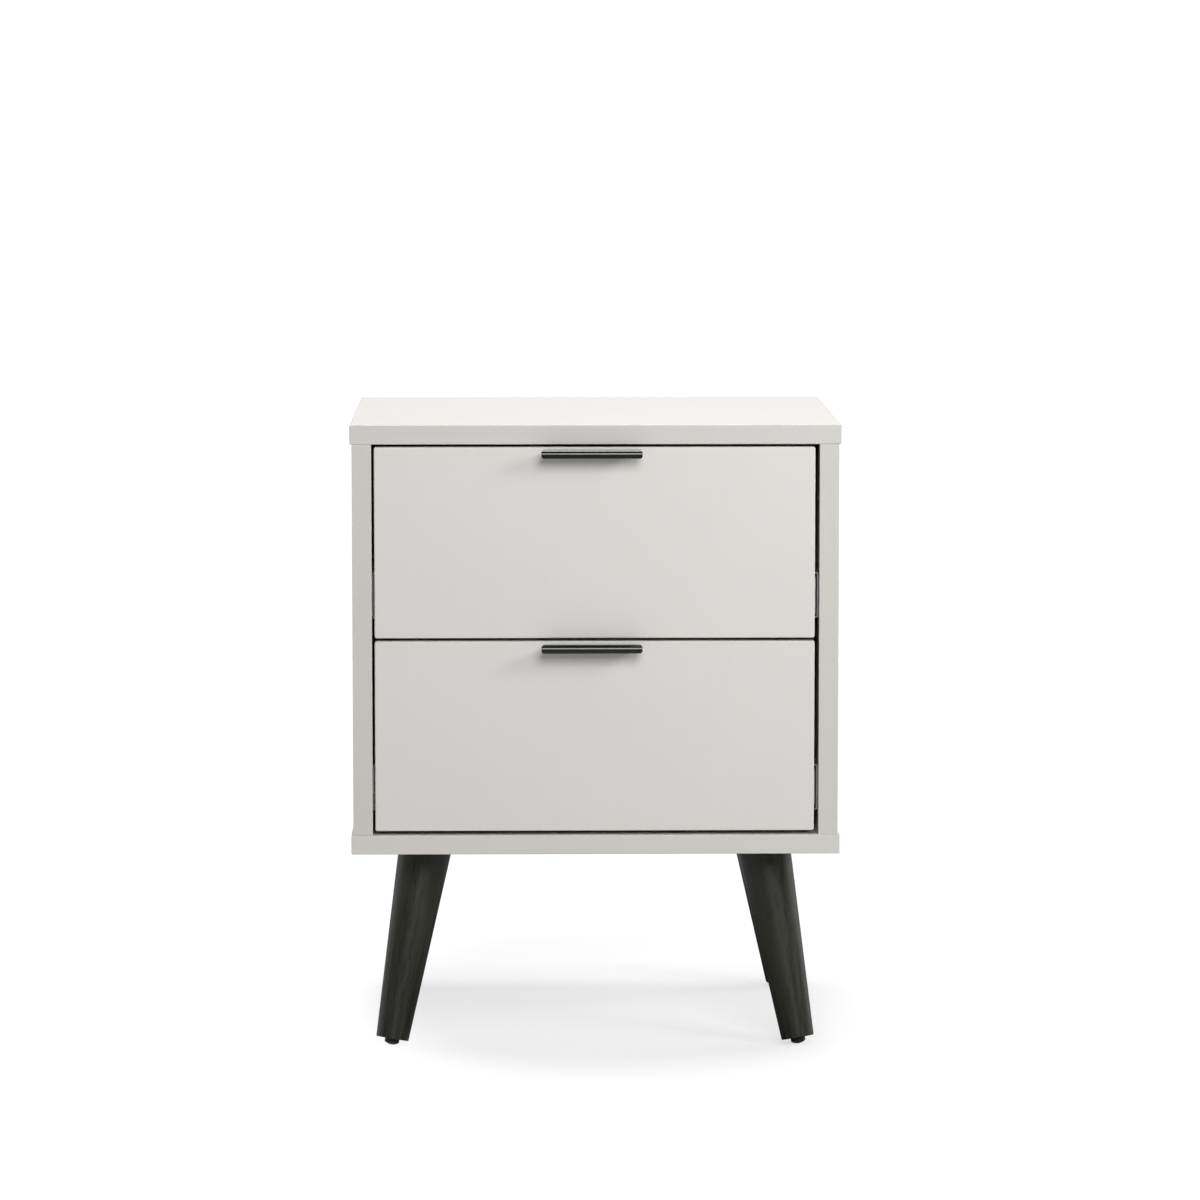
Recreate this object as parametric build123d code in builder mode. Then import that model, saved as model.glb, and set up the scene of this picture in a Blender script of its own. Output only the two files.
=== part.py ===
"""Two-drawer nightstand on four splayed, tapered legs.

The top is drawn down on the sides by cam locks, the bottom is screwed up into them, and a thin back sits in
a rebate. Two drawers run on three-piece ball runners. The legs are turned cones whose tops are cut level and
bolted up into the bottom panel.

Millimetres, +Z up, the front faces -Y, origin on the floor at the centre of the four feet.
"""

import math
import os

from build123d import *

# ---------------------------------------------------------------- driving dimensions
width = 480.0  # top and bottom panels, left to right
depth = 400.0  # top and bottom panels, front to back
height = 620.0  # floor to the top face
leg_height = 197.0  # floor to the underside of the bottom panel
board = 19.0  # carcass boards and drawer fronts
side_overhang = 2.0  # top and bottom stand this far past the sides
front_setback = 1.0  # sides and drawer fronts stand this far behind the top's front edge
edge_round = 0.8  # eased edges of the laminated boards
seam_round = 0.4  # edges of the side panels, which show as a fine seam at the joints
pick_reach = 0.01  # to pick edges and corners by their place

back_thickness = 3.0
back_lap = 9.5  # how far the back laps over the top and bottom panels
back_play = 0.5  # round the back in its rebate
back_side_inset = 1.0  # outer faces of the sides to the back's edges

gap_top = 2.8  # between the top panel and the upper front
gap_middle = 3.1  # between the two fronts
gap_bottom = 4.1  # between the lower front and the bottom panel
gap_side = 3.5  # each side of a front, before it is set over
front_shift = -0.9  # the fronts are fixed a little left of centre
front_corner_round = 2.0
front_face_round = 1.2

box_board = 12.0  # drawer sides, box front and box back
box_rise = 14.0  # bottom edge of a front to its drawer box
box_head_room = 34.0  # top of the drawer box to the top edge of its front
box_edge_round = 1.0
groove_rise = 10.0  # bottom edge of the box to the groove
groove_depth = 6.0
groove_end_play = 0.5
drawer_bottom = 3.0
drawer_bottom_play = 0.3

runner_height = 45.0
runner_thickness = 12.7
runner_rise = 40.0  # bottom edge of a front to its runner's centre
runner_steel = 1.2
runner_step = 50.0  # runners are made in steps of this length
runner_front_gap = 2.0  # behind the drawer front
runner_back_room = 10.0
bend_radius = 1.5  # outside radius of a folded bend, for each millimetre of steel
rail_gap = 0.35  # between a rail's web and the cage beside it
flange_step = 1.0  # each flange ends this far short of the next rail
cage_steel = 0.5
cage_end_room = 2.5  # at each end of a cage when the runner is fully open
outer_ball = 3.0
inner_ball = 2.6
ball_play = 0.15  # all round a ball
balls_in_row = 6

handle_length = 98.5
handle_reach = 22.0  # face of the front to the outside of the lip
handle_lip = 8.4  # height of the lip
lip_depth = 6.0  # front to back
lip_bend = 4.8  # the lip's upper front edge is bent over at this radius
lip_edge_round = 1.0  # its other edges
handle_web = 2.4
handle_drop = 5.5  # top edge of a front to the lip's centre line
handle_offset = -3.0  # the handles sit left of the front's centre
handle_end_round = 2.9
handle_screw_pitch = 64.0
handle_boss = 6.0  # diameter of the bosses that the screws go into
handle_boss_drop = 1.2  # the lip's centre line to the bosses'

leg_top_diameter = 53.3  # square to the axis, where the axis meets the panel
leg_foot_diameter = 32.4
leg_inset = 72.0  # panel edges to the leg's centre at its top
leg_splay = 10.0  # degrees, seen from the front and again from the side
leg_foot_round = 0.8
glide_diameter = 14.5
glide_rim = 3.5  # straight part of the glide
glide_dome = 2.5  # height of its rounded face
glide_stem_diameter = 5.0
glide_stem = 15.0

fit_clearance = 0.1  # on the diameter of a pin, bolt or screw in its hole
hole_end_play = 1.0  # past the end of a pin, bolt or screw
pin_diameter = 8.0  # carcass dowels
pin_in_side = 20.0
pin_in_panel = 10.0
pin_chamfer = 1.0
pin_from_edge = 100.0  # front and back edges of the panels to the dowels
bolt_from_edge = 50.0  # and to the cam bolts and bottom screws
cam_setback = 34.0  # joint face to the cam's centre
cam_diameter = 15.0
cam_past_bolt = 3.0  # bolt's centre line to the deep end of the cam
cam_slot = 8.4
cam_recess_width = 1.4
cam_recess_depth = 2.0
bolt_bore = 8.0
bolt_shank = 7.0
bolt_neck = 4.4
bolt_neck_length = 5.0
bolt_head = 7.2
bolt_head_length = 4.0
bolt_thread = 5.0
bolt_in_panel = 11.0

bottom_screw = 7.0
bottom_screw_head = 10.0
bottom_screw_length = 50.0

hanger_bolt = 8.0
hanger_in_leg = 35.0
insert_diameter = 12.0
insert_cover = 4.0  # board left over a threaded insert
leg_pin = 6.0
leg_pin_in_leg = 10.0
leg_pin_in_panel = 10.0
leg_pin_offset = 16.0  # from the hanger bolt, towards the middle of the nightstand

back_screw = 3.0
back_screw_head = 6.0
back_screw_length = 18.0
back_screw_end_inset = 60.0  # ends of the panels to the first screw
rail_screw = 3.5
rail_screw_head = 6.6
cabinet_rail_screw_length = 13.0
drawer_rail_screw_length = 10.0
rail_hole_step = 32.0  # holes in the runners keep to this system
rail_end_room = 30.0  # ends of a runner to its outer holes, at least
corner_screw = 3.5
corner_screw_head = 7.0
corner_screw_length = 38.0
corner_screw_room = 6.0  # top edge of the runner to the lower corner screws
corner_screw_inset = 22.0  # top edge of the box to the upper corner screws
front_screw = 4.0
front_screw_head = 8.0
front_screw_bite = 13.0  # length that holds in the drawer front
front_screw_play = 1.2  # the box front's holes are wide, so that the front can be set over
front_screw_inset = 74.0  # inside faces of the box to the front's screws
front_screw_low = 40.0  # bottom edge of the box to the lower screws
front_screw_high = 30.0  # top edge of the box to the upper screws
handle_screw = 4.0
handle_screw_head = 8.0
handle_screw_bite = 8.0
pan_height = 0.3  # height of a pan head for each millimetre of its diameter
recess_width = 0.9  # arm of the cross recess in a screw's head

# ---------------------------------------------------------------- places worked out from them
top_z = height - board
floor_z = leg_height + board  # top face of the bottom panel
side_outer = width / 2 - side_overhang
side_inner = side_outer - board
side_middle = side_inner + board / 2
front_face = -depth / 2 + front_setback
front_back = front_face + board
back_inner = depth / 2 - back_thickness
back_width = 2 * (side_outer - back_side_inset)
back_bottom = floor_z - back_lap
back_top = top_z + back_lap

front_height = (top_z - floor_z - gap_top - gap_middle - gap_bottom) / 2
front_width = 2 * (side_inner - gap_side)
lower_base = floor_z + gap_bottom
drawer_bases = {"upper": lower_base + front_height + gap_middle, "lower": lower_base}

runner_room = back_inner - front_back - runner_front_gap - runner_back_room
runner_length = runner_step * math.floor(runner_room / runner_step)
runner_front = front_back + runner_front_gap
runner_back = runner_front + runner_length
runner_middle = (runner_front + runner_back) / 2
rail_hole_pitch = rail_hole_step * math.floor((runner_length / 2 - rail_end_room) / rail_hole_step)
cage_length = runner_length / 2 - 2 * cage_end_room
cabinet_half = runner_height / 2  # half heights of the three rails
middle_half = cabinet_half - runner_steel - outer_ball - 2 * ball_play
drawer_half = middle_half - runner_steel - inner_ball - 2 * ball_play
outer_cage_in = runner_steel + rail_gap  # distances from the side panel into the runner
middle_rail_in = outer_cage_in + cage_steel + rail_gap
inner_cage_in = middle_rail_in + runner_steel + rail_gap
drawer_rail_in = inner_cage_in + cage_steel + rail_gap
middle_flange_in = runner_thickness - runner_steel - flange_step
cabinet_flange_in = middle_flange_in - flange_step

box_outer = side_inner - runner_thickness
box_inner = box_outer - box_board
box_length = runner_length
box_back = front_back + box_length
box_middle = front_back + box_length / 2
box_height = front_height - box_rise - box_head_room
bottom_width = 2 * (box_inner + groove_depth - groove_end_play)
bottom_length = box_length - 2 * (box_board - groove_depth + groove_end_play)

cam_depth = board / 2 + cam_past_bolt
insert_length = board - insert_cover

slope = math.tan(math.radians(leg_splay))
leg_up = Vector(slope, slope, 1).normalized()  # up the front left leg
dome_radius = ((glide_diameter / 2) ** 2 + glide_dome**2) / (2 * glide_dome)
leg_end_z = dome_radius - (dome_radius - glide_rim - glide_dome) * leg_up.Z
leg_axis_length = (leg_height - leg_end_z) / leg_up.Z
leg_top = Vector(-width / 2 + leg_inset, -depth / 2 + leg_inset, leg_height)
leg_end = leg_top - leg_up * leg_axis_length
leg_pin_top = leg_top + Vector(1, 1, 0).normalized() * leg_pin_offset
reflections = {
    "front_left": (),
    "front_right": (Plane.YZ,),
    "rear_left": (Plane.XZ,),
    "rear_right": (Plane.YZ, Plane.XZ),
}


# ---------------------------------------------------------------- shared making
def save(part, name):
    """Label one finished piece and write it to its own file."""
    part.label = name
    export_step(part, f"parts/{name}.step")


def reflected(part, *planes):
    """The part turned over in each plane given, one after another."""
    for plane in planes:
        with BuildPart() as copy:
            mirror(part, about=plane)
        part = copy.part
    return part


def placed(part, seats):
    """One group of separate copies of a part that was made on Plane.XY, standing on each seat."""
    with BuildPart() as group:
        with Locations(*seats):
            add(part)
    return group.part


def board_between(x, y, z, round_edges):
    """A board that fills the given ranges, its edges eased."""
    with BuildPart() as blank:
        with Locations((sum(x) / 2, sum(y) / 2, sum(z) / 2)):
            Box(x[1] - x[0], y[1] - y[0], z[1] - z[0])
        fillet(blank.edges(), round_edges)
    return blank.part


def drill(seats, diameter, reach):
    """Round blind holes in the part being built, each going in against its seat's normal."""
    with Locations(*seats):
        Hole((diameter + fit_clearance) / 2, depth=reach + hole_end_play)


def facing_back(seats):
    """The same seats, looking the other way."""
    return [Plane(origin=seat.origin, x_dir=seat.x_dir, z_dir=-seat.z_dir) for seat in seats]


class Screws:
    """Like cross-head screws. A seat is the plane under a pan head, or level with the top of a sunk one."""

    def __init__(self, seats, shank, head, length, sunk=False):
        self.seats = seats
        self.shank = shank
        self.head = head
        self.length = length
        self.sunk = sunk

    def holes(self, play=fit_clearance):
        """Take room for the screws out of the part being built."""
        with Locations(*self.seats):
            radius = (self.shank + play) / 2
            reach = self.length + hole_end_play
            if self.sunk:
                CounterSinkHole(radius, (self.head + play) / 2, depth=reach, counter_sink_angle=90)
            else:
                Hole(radius, depth=reach)

    def group(self):
        """The screws, each in its seat."""
        pan = self.head * pan_height
        cone = (self.head - self.shank) / 2
        if self.sunk:
            outline = [(0, 0), (self.head / 2, 0), (self.shank / 2, -cone)]
        else:
            outline = [(0, pan), (self.head / 2 - pan / 2, pan), (self.head / 2, 0), (self.shank / 2, 0)]
        tip = [(self.shank / 2, self.shank / 2 - self.length), (0, -self.length)]
        with BuildPart() as screw:
            with BuildSketch(Plane.XZ):
                with BuildLine():
                    Polyline(*outline, *tip, close=True)
                make_face()
            revolve(axis=Axis.Z)
            with BuildSketch(Plane.XY.offset(0 if self.sunk else pan)):
                Rectangle(self.head / 2, recess_width)
                Rectangle(recess_width, self.head / 2)
            extrude(amount=-pan / 2, mode=Mode.SUBTRACT)
        return placed(screw.part, self.seats)


def pin(diameter, reach_down, reach_up):
    """A dowel on Plane.XY with chamfered ends."""
    with BuildPart() as dowel:
        with BuildSketch(Plane.XY.offset(-reach_down)):
            Circle(diameter / 2)
        extrude(amount=reach_down + reach_up)
        chamfer(dowel.edges().filter_by(GeomType.CIRCLE), pin_chamfer)
    return dowel.part


def joint_seats(from_edge, z, way):
    """Planes over the middle of both side panels, at a height, looking up (1) or down (-1)."""
    return [
        Plane(origin=(x, y, z), x_dir=(1, 0, 0), z_dir=(0, 0, way))
        for x in (-side_middle, side_middle)
        for y in (from_edge - depth / 2, depth / 2 - from_edge)
    ]


os.makedirs("parts", exist_ok=True)

# ---------------------------------------------------------------- what holds the carcass together
pin_seats = joint_seats(pin_from_edge, floor_z, 1) + joint_seats(pin_from_edge, top_z, -1)
bolt_seats = joint_seats(bolt_from_edge, top_z, -1)
bottom_fixing = Screws(
    joint_seats(bolt_from_edge, leg_height, -1),
    bottom_screw,
    bottom_screw_head,
    bottom_screw_length,
    sunk=True,
)
save(placed(pin(pin_diameter, pin_in_panel, pin_in_side), pin_seats), "carcass_dowels")
save(bottom_fixing.group(), "bottom_panel_screws")

# cam bolts are screwed into the top panel; their heads end inside the cams
bolt_reach = cam_setback + bolt_head_length / 2
neck_start = bolt_reach - bolt_head_length - bolt_neck_length
with BuildPart() as cam_bolt:
    with BuildSketch(Plane.XZ):
        with BuildLine():
            Polyline(
                (0, -bolt_in_panel),
                (bolt_thread / 2, -bolt_in_panel),
                (bolt_thread / 2, 0),
                (bolt_shank / 2, 0),
                (bolt_shank / 2, neck_start),
                (bolt_neck / 2, neck_start),
                (bolt_neck / 2, bolt_reach - bolt_head_length),
                (bolt_head / 2, bolt_reach - bolt_head_length),
                (bolt_head / 2, bolt_reach),
                (0, bolt_reach),
                close=True,
            )
        make_face()
    revolve(axis=Axis.Z)
save(placed(cam_bolt.part, bolt_seats), "cam_bolts")

# each cam is a drum let into the inside of a side panel, slotted for the bolt's head
with BuildPart() as cam:
    with BuildSketch():
        Circle(cam_diameter / 2)
    extrude(amount=-cam_depth)
    with BuildSketch(Plane.XY.offset(cam_slot / 2 - board / 2)):
        with Locations((0, -bolt_head_length)):
            Rectangle(cam_slot, cam_diameter, align=(Align.CENTER, Align.MIN))
    extrude(amount=-cam_depth, mode=Mode.SUBTRACT)
    with BuildSketch():
        Rectangle(cam_diameter / 2, cam_recess_width)
        Rectangle(cam_recess_width, cam_diameter / 2)
    extrude(amount=-cam_recess_depth, mode=Mode.SUBTRACT)
cam_seats = [
    Plane(origin=(side * side_inner, y, top_z - cam_setback), x_dir=(0, -side, 0), z_dir=(-side, 0, 0))
    for side in (-1, 1)
    for y in (bolt_from_edge - depth / 2, depth / 2 - bolt_from_edge)
]
save(placed(cam.part, cam_seats), "cam_locks")

# ---------------------------------------------------------------- back panel and its screws
screw_span = width / 2 - back_screw_end_inset
panel_screw_x = [screw_span * step / 3 for step in (-3, -1, 1, 3)]
side_screw_z = [floor_z + (top_z - floor_z) * step / 4 for step in (1, 2, 3)]
back_points = [(x, z) for x in panel_screw_x for z in (floor_z - back_lap / 2, top_z + back_lap / 2)]
back_points += [(x, z) for x in (-side_middle, side_middle) for z in side_screw_z]
back_seats = [Plane(origin=(x, depth / 2, z), x_dir=(1, 0, 0), z_dir=(0, 1, 0)) for x, z in back_points]
back_fixing = Screws(back_seats, back_screw, back_screw_head, back_screw_length, sunk=True)
save(back_fixing.group(), "back_panel_screws")

with BuildPart() as back_panel:
    with BuildSketch(Plane.XZ.offset(-depth / 2)):
        with Locations((0, (back_bottom + back_top) / 2)):
            Rectangle(back_width, back_top - back_bottom)
    extrude(amount=back_thickness)
    back_fixing.holes()
save(back_panel.part, "back_panel")


def cut_back_rebate():
    """Take the back panel's room out of the rear edge of the panel being built."""
    with Locations((0, back_inner, (back_bottom + back_top) / 2)):
        Box(
            back_width + 2 * back_play,
            back_thickness,
            back_top - back_bottom + 2 * back_play,
            align=(Align.CENTER, Align.MIN, Align.CENTER),
            mode=Mode.SUBTRACT,
        )


# ---------------------------------------------------------------- top and bottom panels
panel_x = (-width / 2, width / 2)
panel_y = (-depth / 2, depth / 2)

with BuildPart() as top_panel:
    add(board_between(panel_x, panel_y, (top_z, height), edge_round))
    cut_back_rebate()
    drill(pin_seats, pin_diameter, pin_in_panel)
    drill(bolt_seats, bolt_thread, bolt_in_panel)
    back_fixing.holes()
save(top_panel.part, "top_panel")


def under_corners(point):
    """Planes that look down, at a point and its images in the other three corners."""
    return [
        Plane(origin=(x, y, point.Z), x_dir=(1, 0, 0), z_dir=(0, 0, -1))
        for x in (point.X, -point.X)
        for y in (point.Y, -point.Y)
    ]


hanger_seats = under_corners(leg_top)
leg_pin_seats = under_corners(leg_pin_top)

with BuildPart() as bottom_panel:
    add(board_between(panel_x, panel_y, (leg_height, floor_z), edge_round))
    cut_back_rebate()
    drill(pin_seats, pin_diameter, pin_in_panel)
    drill(hanger_seats, insert_diameter, insert_length)
    drill(leg_pin_seats, leg_pin, leg_pin_in_panel)
    bottom_fixing.holes()
    back_fixing.holes()
save(bottom_panel.part, "bottom_panel")

# ---------------------------------------------------------------- side panels, with the runners' screws
cabinet_screw_y = [runner_middle + step * rail_hole_pitch for step in (-1, 0, 1)]
cabinet_web_x = side_inner - runner_steel
cabinet_rail_seats = [
    Plane(origin=(side * cabinet_web_x, y, base + runner_rise), x_dir=(0, side, 0), z_dir=(-side, 0, 0))
    for side in (-1, 1)
    for y in cabinet_screw_y
    for base in drawer_bases.values()
]
cabinet_rail_fixing = Screws(
    cabinet_rail_seats, rail_screw, rail_screw_head, cabinet_rail_screw_length, sunk=True
)
save(cabinet_rail_fixing.group(), "runner_cabinet_screws")

with BuildPart() as right_side_panel:
    add(board_between((side_inner, side_outer), (front_face, back_inner), (floor_z, top_z), seam_round))
    drill(facing_back(pin_seats), pin_diameter, pin_in_side)
    with Locations(*facing_back(bolt_seats)):
        Hole(bolt_bore / 2, depth=cam_setback + bolt_head_length)
    with Locations(*cam_seats):
        Hole((cam_diameter + fit_clearance) / 2, depth=cam_depth)
    bottom_fixing.holes()
    cabinet_rail_fixing.holes()
    back_fixing.holes()
save(right_side_panel.part, "right_side_panel")
save(reflected(right_side_panel.part, Plane.YZ), "left_side_panel")

# ---------------------------------------------------------------- legs, glides and what fastens them
leg_trim = leg_top_diameter / 2  # the turned blank runs past the level cut
taper = (leg_top_diameter - leg_foot_diameter) / 2 / leg_axis_length
blank_length = leg_axis_length + leg_trim
blank_radius = leg_foot_diameter / 2 + taper * blank_length
end_plane = Plane(origin=leg_end, x_dir=(1, -1, 0), z_dir=leg_up)
profile_plane = Plane(origin=leg_end, x_dir=end_plane.x_dir, z_dir=-end_plane.y_dir)

with BuildPart() as leg:
    with BuildSketch(profile_plane):
        with BuildLine():
            Polyline(
                (0, 0),
                (leg_foot_diameter / 2, 0),
                (blank_radius, blank_length),
                (0, blank_length),
                close=True,
            )
        make_face()
    revolve(axis=Axis(leg_end, leg_up))
    split(bisect_by=Plane.XY.offset(leg_height), keep=Keep.BOTTOM)
    fillet(leg.edges().sort_by(Axis.Z)[0], leg_foot_round)
    drill(facing_back(hanger_seats), hanger_bolt, hanger_in_leg)
    drill(facing_back(leg_pin_seats), leg_pin, leg_pin_in_leg)
    drill([Plane(origin=leg_end, z_dir=-leg_up)], glide_stem_diameter, glide_stem)

with BuildPart() as glide:
    with BuildSketch(profile_plane):
        with BuildLine():
            Polyline(
                (0, -glide_rim - glide_dome),
                (0, glide_stem),
                (glide_stem_diameter / 2, glide_stem),
                (glide_stem_diameter / 2, 0),
                (glide_diameter / 2, 0),
                (glide_diameter / 2, -glide_rim),
            )
            RadiusArc((glide_diameter / 2, -glide_rim), (0, -glide_rim - glide_dome), dome_radius)
        make_face()
    revolve(axis=Axis(leg_end, leg_up))

for corner, planes in reflections.items():
    save(reflected(leg.part, *planes), f"{corner}_leg")
    save(reflected(glide.part, *planes), f"{corner}_foot_glide")

with BuildPart() as insert:
    with BuildSketch():
        Circle(insert_diameter / 2)
        Circle((hanger_bolt + fit_clearance) / 2, mode=Mode.SUBTRACT)
    extrude(amount=-insert_length)
save(placed(insert.part, hanger_seats), "threaded_inserts")
save(placed(pin(hanger_bolt, insert_length, hanger_in_leg), hanger_seats), "hanger_bolts")
save(placed(pin(leg_pin, leg_pin_in_panel, leg_pin_in_leg), leg_pin_seats), "leg_dowels")


# ---------------------------------------------------------------- runners
def channel(web_in, flange_in, half, steel, z, length):
    """A folded channel of the right-hand runner: web and flange ends are distances in from the side."""
    web_x = side_inner - web_in
    flange_x = side_inner - flange_in
    inner_x = web_x + math.copysign(steel, flange_x - web_x)
    with BuildPart() as rail:
        with BuildSketch(Plane.XZ.offset(-runner_middle - length / 2)) as section:
            with Locations(((web_x + flange_x) / 2, z)):
                Rectangle(abs(web_x - flange_x), 2 * half)
            with Locations(((inner_x + flange_x) / 2, z)):
                Rectangle(abs(inner_x - flange_x), 2 * (half - steel), mode=Mode.SUBTRACT)
            for x, radius in ((web_x, bend_radius * steel), (inner_x, (bend_radius - 1) * steel)):
                bends = section.vertices().filter_by_position(Axis.X, x - pick_reach, x + pick_reach)
                fillet(bends, radius)
        extrude(amount=length)
    return rail.part


def ball_cage(web_in, flange_in, race_half, ball, z):
    """The right-hand cage with its two rows of balls, in the race at race_half above and below z."""
    ball_x = side_inner - (web_in + cage_steel + flange_in) / 2
    pitch = cage_length / balls_in_row
    first = runner_middle - cage_length / 2 + pitch / 2
    rows = [(ball_x, first + pitch * step) for step in range(balls_in_row)]
    with BuildPart() as cage:
        add(channel(web_in, flange_in, race_half + cage_steel / 2, cage_steel, z, cage_length))
        with Locations(*[(x, y, z) for x, y in rows]):
            Hole(ball / 2 + ball_play)
        with Locations(*[(x, y, z + way * race_half) for x, y in rows for way in (-1, 1)]):
            Sphere(ball / 2)
    return cage.part


def pair(part):
    """The right-hand part and its left-hand image in one group."""
    with BuildPart() as both:
        add(part)
        mirror(part, about=Plane.YZ)
    return both.part


outer_race = (cabinet_half - runner_steel + middle_half) / 2
inner_race = (middle_half - runner_steel + drawer_half) / 2
outer_cage_flange = cabinet_flange_in - flange_step
inner_cage_flange = middle_flange_in - flange_step

for drawer, base in drawer_bases.items():
    runner_z = base + runner_rise

    with BuildPart() as cabinet_rail:
        add(channel(0, cabinet_flange_in, cabinet_half, runner_steel, runner_z, runner_length))
        cabinet_rail_fixing.holes()
    save(cabinet_rail.part, f"{drawer}_right_cabinet_rail")
    save(reflected(cabinet_rail.part, Plane.YZ), f"{drawer}_left_cabinet_rail")

    middle = channel(middle_rail_in, middle_flange_in, middle_half, runner_steel, runner_z, runner_length)
    save(middle, f"{drawer}_right_middle_rail")
    save(reflected(middle, Plane.YZ), f"{drawer}_left_middle_rail")

    outer_cage = ball_cage(outer_cage_in, outer_cage_flange, outer_race, outer_ball, runner_z)
    inner_cage = ball_cage(inner_cage_in, inner_cage_flange, inner_race, inner_ball, runner_z)
    save(pair(outer_cage), f"{drawer}_outer_ball_cages")
    save(pair(inner_cage), f"{drawer}_inner_ball_cages")

# ---------------------------------------------------------------- drawers
across_box = (-box_inner, box_inner)
drawer_screw_y = [y + rail_hole_step / 2 for y in cabinet_screw_y]
drawer_web_x = box_outer + runner_steel
handle_x = front_shift + handle_offset


def cut_groove(bottom_z):
    """Take a drawer bottom's room, which starts at bottom_z, out of the board being built."""
    with Locations((0, box_middle, bottom_z)):
        Box(
            bottom_width + 2 * groove_end_play,
            bottom_length + 2 * groove_end_play,
            drawer_bottom + drawer_bottom_play,
            align=(Align.CENTER, Align.CENTER, Align.MIN),
            mode=Mode.SUBTRACT,
        )


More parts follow.
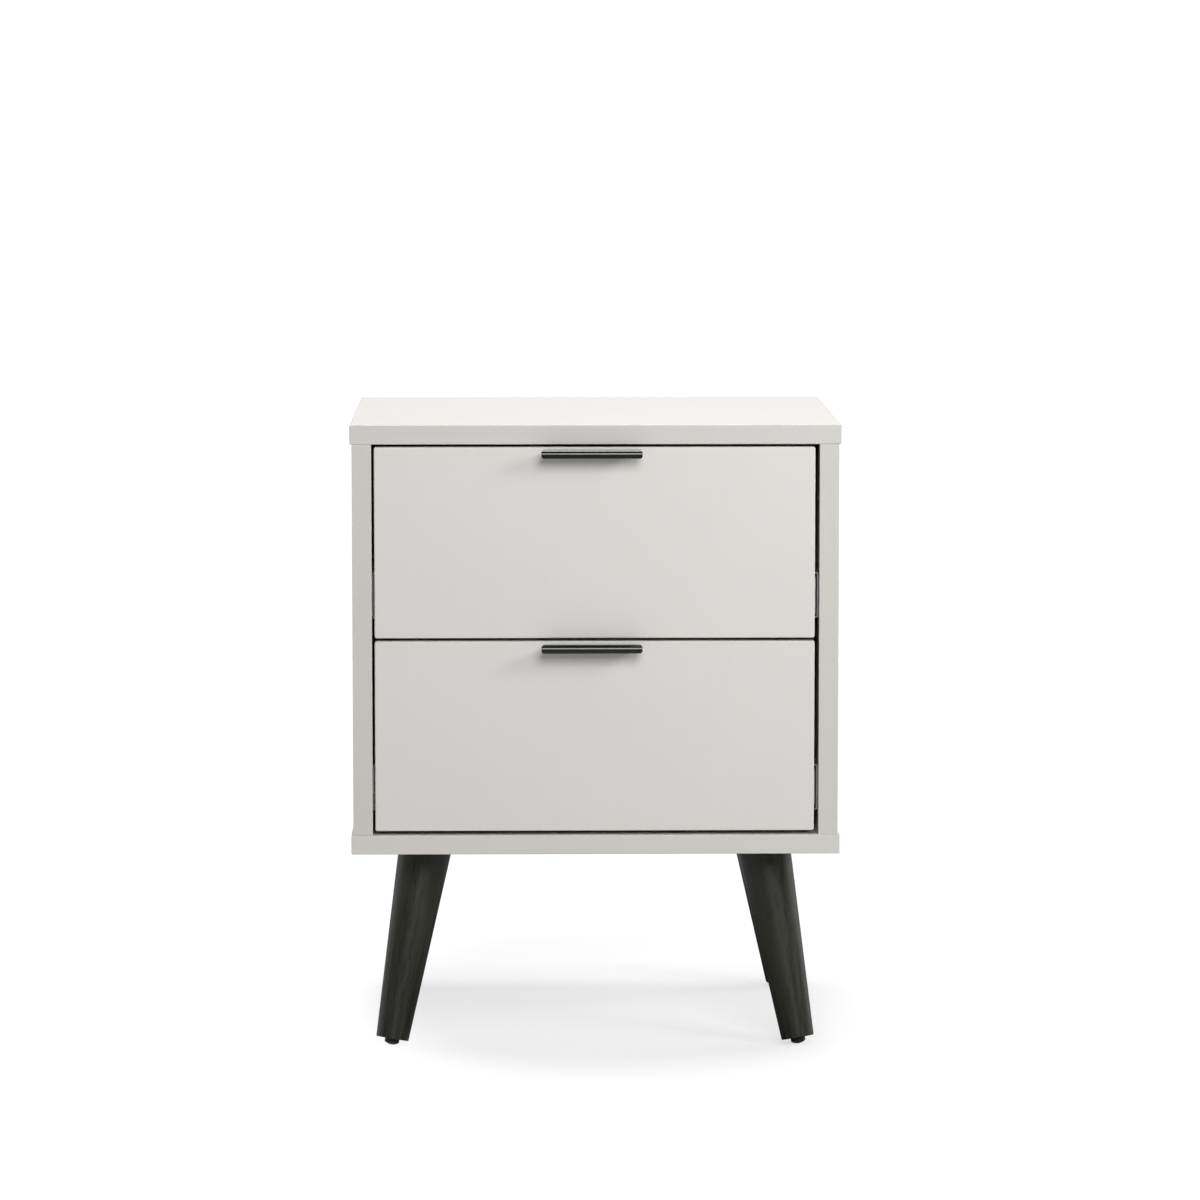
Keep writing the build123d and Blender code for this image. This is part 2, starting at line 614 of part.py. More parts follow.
for drawer, base in drawer_bases.items():
    front_top = base + front_height
    front_z = base + front_height / 2
    box_bottom = base + box_rise
    box_top = box_bottom + box_height
    box_z = (box_bottom, box_top)
    runner_z = base + runner_rise
    bottom_z = box_bottom + groove_rise
    handle_z = front_top - handle_drop
    boss_z = handle_z - handle_boss_drop

    # screws through the drawer sides into the ends of the box front and back
    corner_heights = (runner_z + cabinet_half + corner_screw_room, box_top - corner_screw_inset)
    corner_seats = [
        Plane(origin=(side * box_outer, y, z), x_dir=(0, side, 0), z_dir=(side, 0, 0))
        for side in (-1, 1)
        for y in (front_back + box_board / 2, box_back - box_board / 2)
        for z in corner_heights
    ]
    corner_fixing = Screws(corner_seats, corner_screw, corner_screw_head, corner_screw_length, sunk=True)
    save(corner_fixing.group(), f"{drawer}_drawer_corner_screws")

    # screws that hold the drawer front, from inside the box
    front_seats = [
        Plane(origin=(x, front_back + box_board, z), x_dir=(1, 0, 0), z_dir=(0, 1, 0))
        for x in (front_screw_inset - box_inner, box_inner - front_screw_inset)
        for z in (box_bottom + front_screw_low, box_top - front_screw_high)
    ]
    front_fixing = Screws(front_seats, front_screw, front_screw_head, box_board + front_screw_bite)
    save(front_fixing.group(), f"{drawer}_drawer_front_screws")

    # screws through the drawer front into the handle, above the box
    handle_seats = [
        Plane(origin=(x, front_back, boss_z), x_dir=(1, 0, 0), z_dir=(0, 1, 0))
        for x in (handle_x - handle_screw_pitch / 2, handle_x + handle_screw_pitch / 2)
    ]
    handle_fixing = Screws(handle_seats, handle_screw, handle_screw_head, board + handle_screw_bite)
    save(handle_fixing.group(), f"{drawer}_handle_screws")

    # screws through the drawer rails into the drawer sides
    drawer_rail_seats = [
        Plane(origin=(side * drawer_web_x, y, runner_z), x_dir=(0, side, 0), z_dir=(side, 0, 0))
        for side in (-1, 1)
        for y in drawer_screw_y
    ]
    drawer_rail_fixing = Screws(drawer_rail_seats, rail_screw, rail_screw_head, drawer_rail_screw_length)
    save(drawer_rail_fixing.group(), f"{drawer}_drawer_rail_screws")

    with BuildPart() as front:
        with BuildSketch(Plane.XZ.offset(-front_back)):
            with Locations((front_shift, front_z)):
                RectangleRounded(front_width, front_height, front_corner_round)
        extrude(amount=board)
        fillet(front.faces().sort_by(Axis.Y)[0].edges(), front_face_round)
        fillet(front.faces().sort_by(Axis.Y)[-1].edges(), edge_round)
        front_fixing.holes()
        handle_fixing.holes()
    save(front.part, f"{drawer}_drawer_front")

    with BuildPart() as box_front:
        add(board_between(across_box, (front_back, front_back + box_board), box_z, box_edge_round))
        cut_groove(bottom_z)
        corner_fixing.holes()
        front_fixing.holes(front_screw_play)
    save(box_front.part, f"{drawer}_drawer_box_front")

    with BuildPart() as box_rear:
        add(board_between(across_box, (box_back - box_board, box_back), box_z, box_edge_round))
        cut_groove(bottom_z)
        corner_fixing.holes()
    save(box_rear.part, f"{drawer}_drawer_box_back")

    with BuildPart() as right_side:
        add(board_between((box_inner, box_outer), (front_back, box_back), box_z, box_edge_round))
        cut_groove(bottom_z)
        corner_fixing.holes()
        drawer_rail_fixing.holes()
    save(right_side.part, f"{drawer}_drawer_right_side")
    save(reflected(right_side.part, Plane.YZ), f"{drawer}_drawer_left_side")

    with BuildPart() as bottom:
        with BuildSketch(Plane.XY.offset(bottom_z)):
            with Locations((0, box_middle)):
                Rectangle(bottom_width, bottom_length)
        extrude(amount=drawer_bottom)
    save(bottom.part, f"{drawer}_drawer_bottom")

    with BuildPart() as drawer_rail:
        add(channel(runner_thickness, drawer_rail_in, drawer_half, runner_steel, runner_z, runner_length))
        drawer_rail_fixing.holes()
    save(drawer_rail.part, f"{drawer}_right_drawer_rail")
    save(reflected(drawer_rail.part, Plane.YZ), f"{drawer}_left_drawer_rail")

    # the handle is a lip, bent over at its upper front edge, on a web that runs back behind its middle; the
    # screws go into two bosses under the web
    lip_y = front_face - handle_reach + lip_depth / 2
    lip_middle = (handle_x, lip_y, handle_z)
    lip_end = (handle_x - handle_length / 2, lip_y, handle_z)
    web_top = handle_z + handle_web / 2
    ledge_length = handle_length - 2 * handle_end_round
    boss_seats = [
        Plane(origin=(seat.origin.X, front_face, boss_z), x_dir=(1, 0, 0), z_dir=(0, 1, 0))
        for seat in handle_seats
    ]
    with BuildPart() as handle:
        with BuildSketch(Plane(origin=lip_end, x_dir=(0, 1, 0), z_dir=(1, 0, 0))) as section:
            Rectangle(lip_depth, handle_lip)
            fillet([corner for corner in section.vertices() if corner.X > 0 or corner.Y < 0], lip_edge_round)
            front_side = section.vertices().filter_by_position(Axis.X, -lip_depth / 2, -lip_depth / 2)
            fillet(front_side.sort_by(Axis.Y)[-1], lip_bend)
        extrude(amount=handle_length)
        with BuildSketch(Plane(origin=lip_middle, x_dir=(1, 0, 0), z_dir=(0, -1, 0))):
            RectangleRounded(handle_length, handle_lip, handle_end_round)
        extrude(amount=lip_depth, both=True, mode=Mode.INTERSECT)
        with BuildSketch(Plane.XY.offset(web_top)):
            with Locations((handle_x, front_face)):
                Rectangle(ledge_length, front_face - lip_y, align=(Align.CENTER, Align.MAX))
        extrude(amount=-handle_web)
        with BuildSketch(*boss_seats):
            Circle(handle_boss / 2)
        extrude(amount=-(front_face - lip_y))
        handle_fixing.holes()
    save(handle.part, f"{drawer}_handle")
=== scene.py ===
"""Looks of the two-drawer nightstand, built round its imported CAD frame, in metres."""
import math

import bmesh
import bpy
from mathutils import Euler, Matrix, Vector


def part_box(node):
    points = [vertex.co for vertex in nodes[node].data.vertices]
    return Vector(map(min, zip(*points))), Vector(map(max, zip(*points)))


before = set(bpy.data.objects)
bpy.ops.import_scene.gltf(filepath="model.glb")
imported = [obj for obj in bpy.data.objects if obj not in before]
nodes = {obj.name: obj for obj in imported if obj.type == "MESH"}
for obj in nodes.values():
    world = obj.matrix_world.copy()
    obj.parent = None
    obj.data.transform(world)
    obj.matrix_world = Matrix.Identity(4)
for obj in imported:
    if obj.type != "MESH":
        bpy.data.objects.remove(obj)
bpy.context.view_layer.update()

# The camera stands five metres in front of the drawers and a little to the left of the middle, and looks
# slightly down, so that the top shows as a narrow band. Its lens is long, so upright edges stay upright.
camera_down = math.radians(6.171)
camera_right = math.radians(0.942)
camera = bpy.data.objects.new("studio_camera", bpy.data.cameras.new("studio_camera"))
camera.data.sensor_width = 36.0
camera.data.lens = 153.52
camera.location = (-0.0776, -5.1755, 0.9864)
camera.rotation_euler = (math.pi / 2 - camera_down, 0, -camera_right)
bpy.context.scene.collection.objects.link(camera)
bpy.context.scene.camera = camera
bpy.context.scene.view_settings.view_transform = "Standard"

# The left and right side panels are 19 mm chipboard faced with a warm light grey laminate, and stand on the
# bottom panel. Their edges carry a band of the same colour, whose glue line shows just inside the corner.


def node(tree, kind, inputs=None, **settings):
    """Adds one node; inputs maps a socket's name or number to a value, or to the socket that feeds it."""
    made = tree.nodes.new(kind)
    for name, value in settings.items():
        setattr(made, name, value)
    for name, value in (inputs or {}).items():
        if isinstance(value, bpy.types.NodeSocket):
            tree.links.new(value, made.inputs[name])
        else:
            made.inputs[name].default_value = value
    return made


def math_node(tree, operation, first, second=0.0):
    return node(tree, "ShaderNodeMath", {0: first, 1: second}, operation=operation).outputs[0]


def map_range(tree, value, start, end, at_start, at_end, **settings):
    """Goes from at_start to at_end as the value goes from start to end, and no further."""
    limits = {"Value": value, "From Min": start, "From Max": end, "To Min": at_start, "To Max": at_end}
    return node(tree, "ShaderNodeMapRange", limits, **settings).outputs[0]


def effect(name, inputs, outputs):
    """Starts a shared effect: a node group with the named sockets."""
    group = bpy.data.node_groups.new(name, "ShaderNodeTree")
    for socket, kind in inputs.items():
        group.interface.new_socket(socket, in_out="INPUT", socket_type=f"NodeSocket{kind}")
    for socket, kind in outputs.items():
        group.interface.new_socket(socket, in_out="OUTPUT", socket_type=f"NodeSocket{kind}")
    return group, group.nodes.new("NodeGroupInput").outputs, group.nodes.new("NodeGroupOutput").inputs


# clouds of tone, as long, wide and high as Size says: streaks, grain, mottling and fine texture
mottle, given, result = effect(
    "mottle",
    {"Position": "Vector", "Size": "Vector", "Contrast": "Float"},
    {"Shade": "Float", "Height": "Float"},
)
stretched = node(
    mottle, "ShaderNodeVectorMath", {0: given["Position"], 1: given["Size"]}, operation="DIVIDE"
).outputs[0]
cloud = node(
    mottle, "ShaderNodeTexNoise", {"Vector": stretched, "Scale": 1.0, "Detail": 3.0, "Roughness": 0.55}
).outputs["Fac"]
mean_cloud = 0.5
swing = math_node(mottle, "MULTIPLY", math_node(mottle, "SUBTRACT", cloud, mean_cloud), given["Contrast"])
mottle.links.new(math_node(mottle, "ADD", swing, 1.0), result["Shade"])
mottle.links.new(cloud, result["Height"])

# how near a point is to an edge of its piece, where handling wears it and a painted highlight makes it paler:
# there the eased face and the true one point different ways, and away from every edge their likeness is 1
plain_face_likeness, full_edge_likeness = 0.995, 0.75
wear_and_highlight_edge_mask, given, result = effect("wear_and_highlight_edge_mask", {"Reach": "Float"}, {"Mask": "Float"})
eased = node(wear_and_highlight_edge_mask, "ShaderNodeBevel", {"Radius": given["Reach"]}, samples=6).outputs[0]
faced = node(wear_and_highlight_edge_mask, "ShaderNodeNewGeometry").outputs["True Normal"]
likeness = node(
    wear_and_highlight_edge_mask, "ShaderNodeVectorMath", {0: eased, 1: faced}, operation="DOT_PRODUCT"
).outputs["Value"]
wear_and_highlight_edge_mask.links.new(map_range(wear_and_highlight_edge_mask, likeness, plain_face_likeness, full_edge_likeness, 0.0, 1.0), result["Mask"])

# the glue line of an edge band, on the broad faces of a board that lies centred in its own XY plane
glue_line, given, result = effect(
    "glue_line",
    {"Position": "Vector", "Half length": "Float", "Half width": "Float", "Band": "Float", "Line": "Float"},
    {"Mask": "Float"},
)
across = node(glue_line, "ShaderNodeSeparateXYZ", {0: given["Position"]}).outputs
from_end = math_node(
    glue_line, "SUBTRACT", given["Half length"], math_node(glue_line, "ABSOLUTE", across["X"])
)
from_side = math_node(
    glue_line, "SUBTRACT", given["Half width"], math_node(glue_line, "ABSOLUTE", across["Y"])
)
nearest = math_node(glue_line, "MINIMUM", from_end, from_side)
off_line = math_node(glue_line, "ABSOLUTE", math_node(glue_line, "SUBTRACT", nearest, given["Band"]))
glue_line.links.new(map_range(glue_line, off_line, 0.0, given["Line"], 1.0, 0.0), result["Mask"])


def add_effect(tree, group, **inputs):
    """Places a shared effect in a material, with this material's own values."""
    placed = tree.nodes.new("ShaderNodeGroup")
    placed.node_tree = group
    for name, value in inputs.items():
        socket = placed.inputs[name.replace("_", " ")]
        if isinstance(value, bpy.types.NodeSocket):
            tree.links.new(value, socket)
        else:
            socket.default_value = value
    return placed.outputs


def new_finish(name, centre=(0, 0, 0), turn=(0, 0, 0), **sockets):
    """A material, its tree, its surface shader and the position on the piece, seen from its centre."""
    finish = bpy.data.materials.new(name)
    finish.use_nodes = True
    tree = finish.node_tree
    surface = tree.nodes["Principled BSDF"]
    for socket, value in sockets.items():
        surface.inputs[socket].default_value = value
    place = node(
        tree,
        "ShaderNodeMapping",
        {"Vector": node(tree, "ShaderNodeTexCoord").outputs["Object"], "Location": centre, "Rotation": turn},
        vector_type="TEXTURE",
    ).outputs[0]
    return finish, tree, surface, place


def tint(tree, colour, *shades):
    """A colour made lighter and darker by each of the shades."""
    for shade in shades:
        colour = node(
            tree, "ShaderNodeVectorMath", {0: colour, "Scale": shade}, operation="SCALE"
        ).outputs[0]
    return colour


def blend(tree, mask, amount, first, second):
    """The first colour, which gives way to the second where the mask is, by up to the amount."""
    share = math_node(tree, "MULTIPLY", mask, amount)
    # the Mix node's sockets 6 and 7 are its two colours
    mixed = node(
        tree, "ShaderNodeMix", {0: share, 6: first, 7: (*second, 1)}, data_type="RGBA", clamp_factor=True
    )
    return mixed.outputs[2]


def edge_wear_and_highlight(tree, colour, reach, amount, bare):
    """A colour that gives way to another along the piece's edges: wear, and a painted highlight where that
    colour is paler.
    """
    return blend(tree, add_effect(tree, wear_and_highlight_edge_mask, Reach=reach)["Mask"], amount, colour, bare)


def polish(tree, surface, roughness, *shades):
    """A roughness that changes with each of the shades."""
    for shade in shades:
        roughness = math_node(tree, "MULTIPLY", shade, roughness)
    tree.links.new(roughness, surface.inputs["Roughness"])


def relief(tree, surface, height, depth):
    """Feeds a height, whose full swing is as deep as depth, to the surface's normal."""
    bump = node(tree, "ShaderNodeBump", {"Height": height, "Distance": depth})
    tree.links.new(bump.outputs[0], surface.inputs["Normal"])


def coat_nodes(finish, *names):
    """Gives CAD nodes their finish."""
    for name in names:
        nodes[name].material_slots[0].material = finish


shell_grey = (0.690, 0.674, 0.630)
lengthwise_streak = (0.30, 0.006, 0.006)  # along a board's own X, which runs up a side panel
flat, upright_side, upright_front = (0, 0, 0), (0, math.pi / 2, 0), (math.pi / 2, 0, 0)
band_thickness = 0.0009
glue_line_width = 0.00016


def faced_board(name, board, turn, colour, streak, banded=True):
    """The smooth face of one board: faint streaks along it, a fine pearl and a satin gloss."""
    low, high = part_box(board)
    finish, tree, surface, place = new_finish(name, (low + high) / 2, turn, IOR=1.48)
    streaks = add_effect(tree, mottle, Position=place, Size=streak, Contrast=0.030)
    cloudy = add_effect(tree, mottle, Position=place, Size=(0.09, 0.09, 0.09), Contrast=0.030)
    pearl = add_effect(tree, mottle, Position=place, Size=(0.0006, 0.0006, 0.0006), Contrast=0.05)
    look = tint(tree, colour, streaks["Shade"], cloudy["Shade"], pearl["Shade"])
    # paler edges: wear, and a painted highlight along the eased edges
    look = edge_wear_and_highlight(tree, look, reach=0.0012, amount=0.35, bare=(0.88, 0.87, 0.85))
    if banded:
        half = [abs(size) for size in Euler(turn).to_matrix().inverted() @ ((high - low) / 2)]
        line = add_effect(
            tree, glue_line, Position=place, Half_length=half[0], Half_width=half[1],
            Band=band_thickness, Line=glue_line_width,
        )["Mask"]
        look = blend(tree, line, 0.55, look, (0.42, 0.40, 0.36))
    tree.links.new(look, surface.inputs["Base Color"])
    polish(tree, surface, 0.40, streaks["Shade"], cloudy["Shade"])
    relief(tree, surface, pearl["Height"], 0.000012)
    return finish


for side in ("left", "right"):
    board = f"{side}_side_panel"
    coat_nodes(
        faced_board(f"{side}_side_laminate", board, upright_side, shell_grey, lengthwise_streak), board
    )

# The top and bottom panels are the same laminated board, full width, with edge bands all round. The four sunk
# screws that hold the sides show in the bottom panel's underside. Their two greys are lit and shaded copies
# of
# one laminate: the bottom's is painted paler, as painted light that brightens its front edge.
for panel, panel_grey_with_painted_light in (("top", (0.700, 0.685, 0.655)), ("bottom", (0.745, 0.722, 0.680))):
    board = f"{panel}_panel"
    coat_nodes(faced_board(f"{panel}_laminate", board, flat, panel_grey_with_painted_light, lengthwise_streak), board)

# Turned beech dowels locate the carcass boards and the legs. They are bare wood, with the pale flecks and the
# straight fine grain of beech.
beech, tree, surface, place = new_finish("bare_beech", Roughness=0.62)
grain = add_effect(tree, mottle, Position=place, Size=(0.0006, 0.0006, 0.012), Contrast=0.35)
flecks = add_effect(tree, mottle, Position=place, Size=(0.0004, 0.0015, 0.003), Contrast=0.25)
look = tint(tree, (0.60, 0.40, 0.23), grain["Shade"], flecks["Shade"])
tree.links.new(look, surface.inputs["Base Color"])
relief(tree, surface, grain["Height"], 0.00004)
coat_nodes(beech, "carcass_dowels", "leg_dowels")

# Screws, cam bolts, hanger bolts and threaded inserts are steel with a bright zinc plating, which is a little
# cloudy and shows the marks of the turning tool and the driver.
zinc, tree, surface, place = new_finish("zinc_plated_screws", Metallic=1.0)
cloudy = add_effect(tree, mottle, Position=place, Size=(0.002, 0.002, 0.002), Contrast=0.30)
turning = add_effect(tree, mottle, Position=place, Size=(0.0002, 0.0002, 0.0002), Contrast=0.20)
look = tint(tree, (0.58, 0.59, 0.60), cloudy["Shade"], turning["Shade"])
# brighter edges: wear, and a painted highlight along them
look = edge_wear_and_highlight(tree, look, reach=0.0003, amount=0.5, bare=(0.78, 0.78, 0.77))
tree.links.new(look, surface.inputs["Base Color"])
polish(tree, surface, 0.36, cloudy["Shade"])
relief(tree, surface, turning["Height"], 0.00001)
coat_nodes(
    zinc, "cam_bolts", "bottom_panel_screws", "threaded_inserts", "hanger_bolts", "back_panel_screws",
    "runner_cabinet_screws",
)

# The four cam locks are die-cast zinc drums, turned home in the side panels from inside. The casting is dull,
# with a slightly grainy skin and brighter corners round the driver slot.
cam_metal, tree, surface, place = new_finish("die_cast_zinc", Metallic=1.0)
skin = add_effect(tree, mottle, Position=place, Size=(0.0005, 0.0005, 0.0005), Contrast=0.35)
look = tint(tree, (0.42, 0.42, 0.43), skin["Shade"])
# brighter corners: wear, and a painted highlight along them
look = edge_wear_and_highlight(tree, look, reach=0.0005, amount=1.0, bare=(0.66, 0.66, 0.66))
tree.links.new(look, surface.inputs["Base Color"])
polish(tree, surface, 0.48, skin["Shade"])
relief(tree, surface, skin["Height"], 0.00003)
coat_nodes(cam_metal, "cam_locks")

# The back is a 3 mm hardboard sheet, painted light grey and screwed into a rebate. Pressed fibres show
# through its thin paint, and the drawer bottoms are the same sheet.
painted_sheet, tree, surface, place = new_finish("painted_hardboard", IOR=1.45)
fibres = add_effect(tree, mottle, Position=place, Size=(0.0030, 0.0012, 0.0016), Contrast=0.10)
cross_fibres = add_effect(tree, mottle, Position=place, Size=(0.0009, 0.0028, 0.0034), Contrast=0.10)
cloudy = add_effect(tree, mottle, Position=place, Size=(0.05, 0.05, 0.05), Contrast=0.06)
look = tint(tree, (0.70, 0.685, 0.65), fibres["Shade"], cross_fibres["Shade"], cloudy["Shade"])
look = edge_wear_and_highlight(tree, look, reach=0.0008, amount=0.45, bare=(0.36, 0.27, 0.18))
tree.links.new(look, surface.inputs["Base Color"])
polish(tree, surface, 0.60, cross_fibres["Shade"])
relief(tree, surface, math_node(tree, "ADD", fibres["Height"], cross_fibres["Height"]), 0.00004)
coat_nodes(painted_sheet, "back_panel", "upper_drawer_bottom", "lower_drawer_bottom")

# The legs are turned from straight-grained hardwood, tapered to the foot, stained charcoal and sealed with a
# satin varnish. Each splays ten degrees both ways, and its grain follows its own axis.
corners = {"front_left": (-1, -1), "front_right": (1, -1), "rear_left": (-1, 1), "rear_right": (1, 1)}
splay = math.tan(math.radians(10))
for corner, (to_side, to_back) in corners.items():
    leg = f"{corner}_leg"
    low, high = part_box(leg)
    turn = Vector((-to_side * splay, -to_back * splay, 1)).to_track_quat("Z", "Y").to_euler()
    stain, tree, surface, place = new_finish(f"{leg}_stain", (low + high) / 2, turn, IOR=1.5)
    figure = add_effect(tree, mottle, Position=place, Size=(0.005, 0.005, 0.10), Contrast=1.5)
    pores = add_effect(tree, mottle, Position=place, Size=(0.0009, 0.0009, 0.022), Contrast=1.5)
    look = tint(tree, (0.0195, 0.0198, 0.0128), figure["Shade"], pores["Shade"])
    # paler edges: wear of the stain, and a painted highlight along them
    look = edge_wear_and_highlight(tree, look, reach=0.0015, amount=0.35, bare=(0.060, 0.056, 0.046))
    tree.links.new(look, surface.inputs["Base Color"])
    polish(tree, surface, 0.42, figure["Shade"], pores["Shade"])
    relief(tree, surface, pores["Height"], 0.00006)
    coat_nodes(stain, leg)

# Under each leg is a nail-in glide of dark moulded plastic, with a matt, spark-eroded skin that is scuffed
# paler in short strokes.
glide_plastic, tree, surface, place = new_finish("glide_plastic", IOR=1.49)
skin = add_effect(tree, mottle, Position=place, Size=(0.0003, 0.0003, 0.0003), Contrast=0.5)
scuffs = add_effect(tree, mottle, Position=place, Size=(0.004, 0.0006, 0.002), Contrast=0.9)
look = tint(tree, (0.018, 0.018, 0.018), skin["Shade"], scuffs["Shade"])
tree.links.new(look, surface.inputs["Base Color"])
polish(tree, surface, 0.52, scuffs["Shade"])
relief(tree, surface, skin["Height"], 0.00003)
for corner in corners:
    coat_nodes(glide_plastic, f"{corner}_foot_glide")

# Each drawer runs on two ball runners of three rails, roll-formed from zinc-plated strip. Faint lines run
# along the rails from the rolls, and a thin film of grease dulls them in patches.
runner_strip, tree, surface, place = new_finish("zinc_plated_strip", Metallic=1.0)
rolled = add_effect(tree, mottle, Position=place, Size=(0.0004, 0.060, 0.0004), Contrast=0.22)
grease = add_effect(tree, mottle, Position=place, Size=(0.008, 0.030, 0.008), Contrast=0.9)
look = tint(tree, (0.60, 0.61, 0.62), rolled["Shade"])
# brighter edges: wear, and a painted highlight along them
look = edge_wear_and_highlight(tree, look, reach=0.0005, amount=0.6, bare=(0.80, 0.80, 0.80))
tree.links.new(look, surface.inputs["Base Color"])
polish(tree, surface, 0.34, grease["Shade"])
relief(tree, surface, rolled["Height"], 0.00002)
for drawer in ("upper", "lower"):
    for side in ("left", "right"):
        for rail in ("cabinet", "middle", "drawer"):
            coat_nodes(runner_strip, f"{drawer}_{side}_{rail}_rail")

# Between the rails run polished steel balls, held in cages pressed from thin strip, an outer and an inner one
# on each side. They are bright, but scuffed along their length.
ball_steel, tree, surface, place = new_finish("bright_ball_steel", Metallic=1.0)
scuffs = add_effect(tree, mottle, Position=place, Size=(0.0006, 0.012, 0.0006), Contrast=0.5)
tree.links.new(tint(tree, (0.66, 0.66, 0.67), scuffs["Shade"]), surface.inputs["Base Color"])
polish(tree, surface, 0.16, scuffs["Shade"])
relief(tree, surface, scuffs["Height"], 0.000008)
for drawer in ("upper", "lower"):
    coat_nodes(ball_steel, f"{drawer}_outer_ball_cages", f"{drawer}_inner_ball_cages")

# The drawer boxes are 12 mm board faced with matt pale grey melamine, screwed at the corners. The sheet has
# the fine grain of a printed paper face and soft edges of the same colour.
melamine, tree, surface, place = new_finish("pale_melamine", IOR=1.46)
pearl = add_effect(tree, mottle, Position=place, Size=(0.0008, 0.0008, 0.0008), Contrast=0.06)
cloudy = add_effect(tree, mottle, Position=place, Size=(0.06, 0.10, 0.03), Contrast=0.04)
look = tint(tree, (0.76, 0.75, 0.715), pearl["Shade"], cloudy["Shade"])
# paler edges: wear, and a painted highlight along the eased edges
look = edge_wear_and_highlight(tree, look, reach=0.0012, amount=0.4, bare=(0.86, 0.855, 0.83))
tree.links.new(look, surface.inputs["Base Color"])
polish(tree, surface, 0.50, cloudy["Shade"])
relief(tree, surface, pearl["Height"], 0.00002)
for drawer in ("upper", "lower"):
    for piece in ("drawer_left_side", "drawer_right_side", "drawer_box_front", "drawer_box_back"):
        coat_nodes(melamine, f"{drawer}_{piece}")
    for fixing in ("drawer_corner", "drawer_front", "drawer_rail", "handle"):
        coat_nodes(zinc, f"{drawer}_{fixing}_screws")

# The two drawer fronts are 19 mm board with rounded corners and edges, sprayed in a warm light grey lacquer.
# Upright brush-like streaks of tone run faintly down the faces.
lacquer_grey = (0.800, 0.782, 0.748)
upright_streak = (0.005, 0.25, 0.005)
for drawer in ("upper", "lower"):
    front = f"{drawer}_drawer_front"
    lacquer = faced_board(
        f"{drawer}_front_lacquer", front, upright_front, lacquer_grey, upright_streak, banded=False
    )
    coat_nodes(lacquer, front)

# The handles are black powder-coated ledges: a lip, bent over at its upper front edge, on a thin web. The
# coat is satin, with a fine orange peel and clouds of gloss.
black_coat, tree, surface, place = new_finish("black_powder_coat", IOR=1.58)
peel = add_effect(tree, mottle, Position=place, Size=(0.0005, 0.0005, 0.0005), Contrast=0.35)
cloudy = add_effect(tree, mottle, Position=place, Size=(0.01, 0.01, 0.01), Contrast=0.5)
look = tint(tree, (0.0035, 0.0035, 0.0036), peel["Shade"], cloudy["Shade"])
tree.links.new(look, surface.inputs["Base Color"])
polish(tree, surface, 0.16, cloudy["Shade"])
relief(tree, surface, peel["Height"], 0.000008)
coat_nodes(black_coat, "upper_handle", "lower_handle")

# The nightstand stands on a plain white studio floor. The floor takes its shadow, and fades into the white
# surround in an ellipse round it, so that no edge of the floor shows.
floor_reach = 6.0
floor_grey = (0.36, 0.36, 0.36, 1)
floor_lift = 0.64  # glow for the camera alone, which brings the lit floor up to white
floor_dulling = 0.75  # how much of the floor is left out of glossy reflections
fade_centre, fade_size = (0.03, 0.08, 0), (0.31, 0.55, 1)
fade_start = 0.62  # share of the fade's size
white = (1, 1, 1, 1)
surround_white = 1.05  # as the camera sees it
surround_light = 0.5  # as everything else is lit by it
studio_floor = bpy.data.meshes.new("studio_floor")
shape = bmesh.new()
bmesh.ops.create_grid(shape, x_segments=8, y_segments=8, size=floor_reach)
shape.to_mesh(studio_floor)
shape.free()
floor = bpy.data.objects.new("studio_floor", studio_floor)
bpy.context.scene.collection.objects.link(floor)
floor_paint = bpy.data.materials.new("floor_paint")
floor_paint.use_nodes = True
tree = floor_paint.node_tree
tree.nodes.remove(tree.nodes["Principled BSDF"])
ray = node(tree, "ShaderNodeLightPath").outputs
lift = math_node(tree, "MULTIPLY", ray["Is Camera Ray"], floor_lift)
matt = node(tree, "ShaderNodeBsdfDiffuse", {"Color": floor_grey}).outputs[0]
glow = node(tree, "ShaderNodeEmission", {"Color": white, "Strength": lift}).outputs[0]
lit_paint = node(tree, "ShaderNodeAddShader", {0: matt, 1: glow}).outputs[0]
dulled = math_node(tree, "MULTIPLY", ray["Is Glossy Ray"], floor_dulling)
near = node(tree, "ShaderNodeMixShader", {0: dulled, 1: lit_paint}).outputs[0]
far_glow = map_range(tree, ray["Is Camera Ray"], 0.0, 1.0, surround_light, surround_white)
far = node(tree, "ShaderNodeEmission", {"Color": white, "Strength": far_glow}).outputs[0]
place = node(
    tree,
    "ShaderNodeMapping",
    {
        "Vector": node(tree, "ShaderNodeTexCoord").outputs["Object"],
        "Location": fade_centre,
        "Scale": fade_size,
    },
    vector_type="TEXTURE",
).outputs[0]
away = node(tree, "ShaderNodeVectorMath", {0: place}, operation="LENGTH").outputs["Value"]
fade = map_range(tree, away, fade_start, 1.0, 0.0, 1.0, interpolation_type="SMOOTHSTEP")
faded = node(tree, "ShaderNodeMixShader", {0: fade, 1: near, 2: far}).outputs[0]
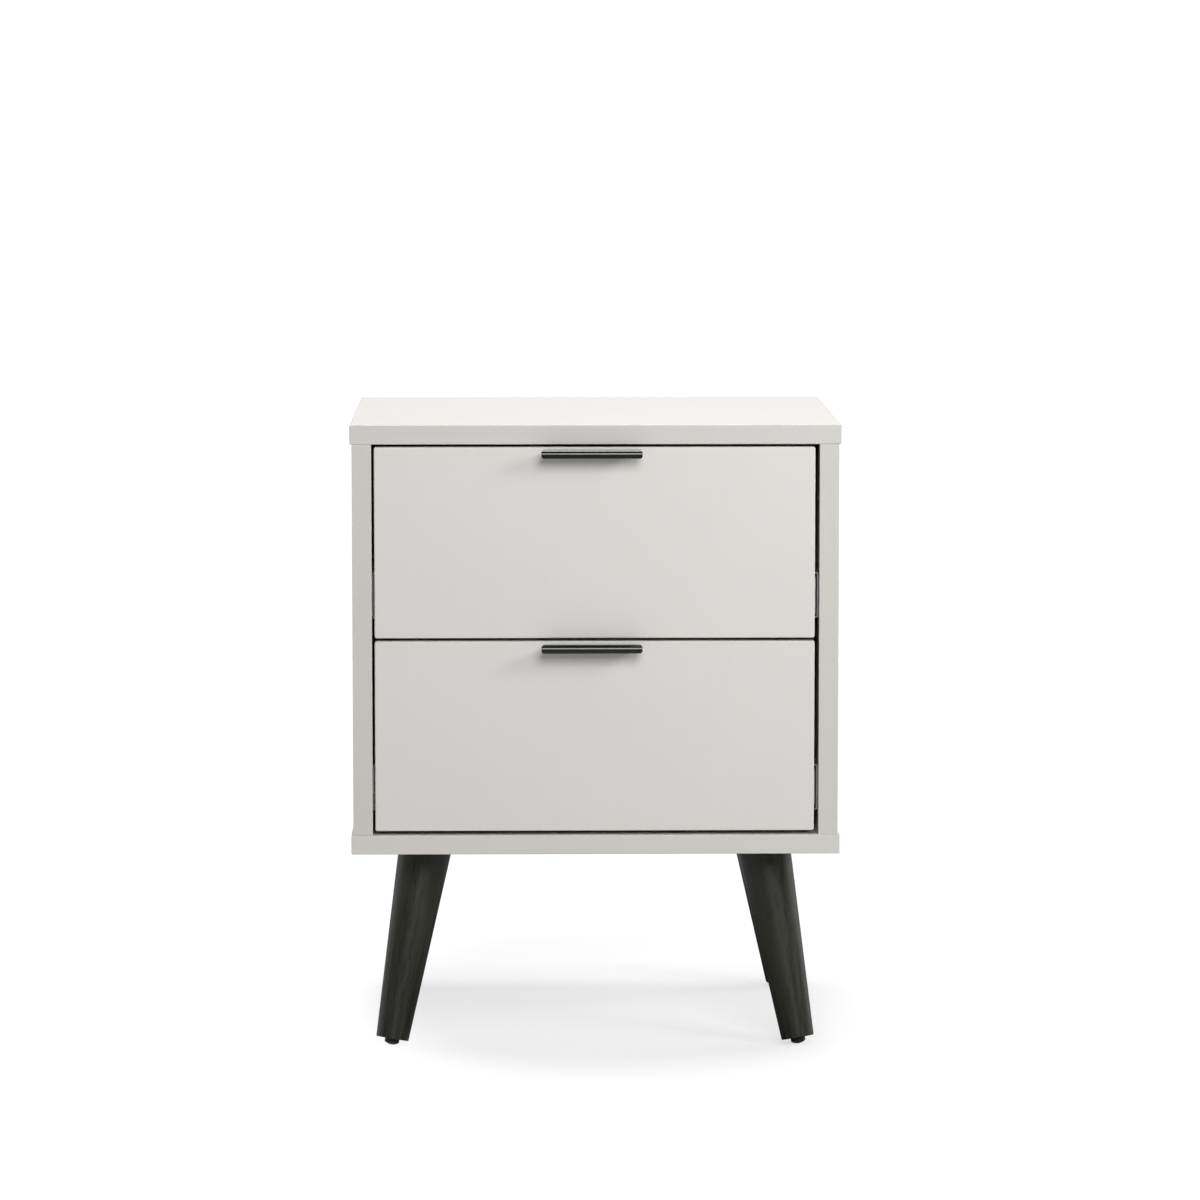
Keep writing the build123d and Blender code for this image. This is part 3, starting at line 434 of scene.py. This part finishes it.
tree.links.new(faded, tree.nodes["Material Output"].inputs["Surface"])
studio_floor.materials.append(floor_paint)

# The light comes from four soft boxes: two on the right, one of them behind for the rims of the legs, one
# overhead and one above the camera. Azimuth 0 is in front and 90 on the right, in degrees.
lit_middle = Vector((0, 0, 0.40))
for name, azimuth, elevation, distance, size, energy in (
    ("side_soft_box", 56, 25, 2.0, 0.50, 10.0),
    ("rim_soft_box", 112, 8, 2.0, 0.50, 7.0),
    ("overhead_soft_box", 180, 82, 2.4, 1.00, 40.0),
    ("front_soft_box", 9, 26, 3.0, 1.20, 40.0),
):
    light = bpy.data.objects.new(name, bpy.data.lights.new(name, "AREA"))
    light.data.shape = "SQUARE"
    light.data.size = size
    light.data.energy = energy
    turn, rise = math.radians(azimuth), math.radians(elevation)
    aim = Vector((math.cos(rise) * math.sin(turn), -math.cos(rise) * math.cos(turn), math.sin(rise)))
    light.location = lit_middle + distance * aim
    light.rotation_euler = aim.to_track_quat("Z", "Y").to_euler()
    bpy.context.scene.collection.objects.link(light)

# The room is white behind the nightstand, darker behind the camera and darker again towards the ceiling. The
# camera itself sees it as the same white as the floor's surround.
dark_wall, bright_wall, wall_turn = 0.16, 0.90, 0.30
wall_top, ceiling_foot, ceiling_light = 0.15, 0.85, 0.35
room = bpy.data.worlds.new("white_room")
room.use_nodes = True
bpy.context.scene.world = room
tree = room.node_tree
toward = node(
    tree, "ShaderNodeSeparateXYZ", {0: node(tree, "ShaderNodeTexCoord").outputs["Generated"]}
).outputs
behind = map_range(tree, toward["Y"], -wall_turn, wall_turn, dark_wall, bright_wall)
upward = map_range(tree, toward["Z"], wall_top, ceiling_foot, 1.0, ceiling_light)
room_glow = math_node(tree, "MULTIPLY", behind, upward)
seen = node(tree, "ShaderNodeLightPath").outputs["Is Camera Ray"]
bright = node(
    tree, "ShaderNodeMix", {"Factor": seen, "A": room_glow, "B": surround_white}, data_type="FLOAT"
).outputs[0]
background = tree.nodes["Background"]
background.inputs["Color"].default_value = white
tree.links.new(bright, background.inputs["Strength"])
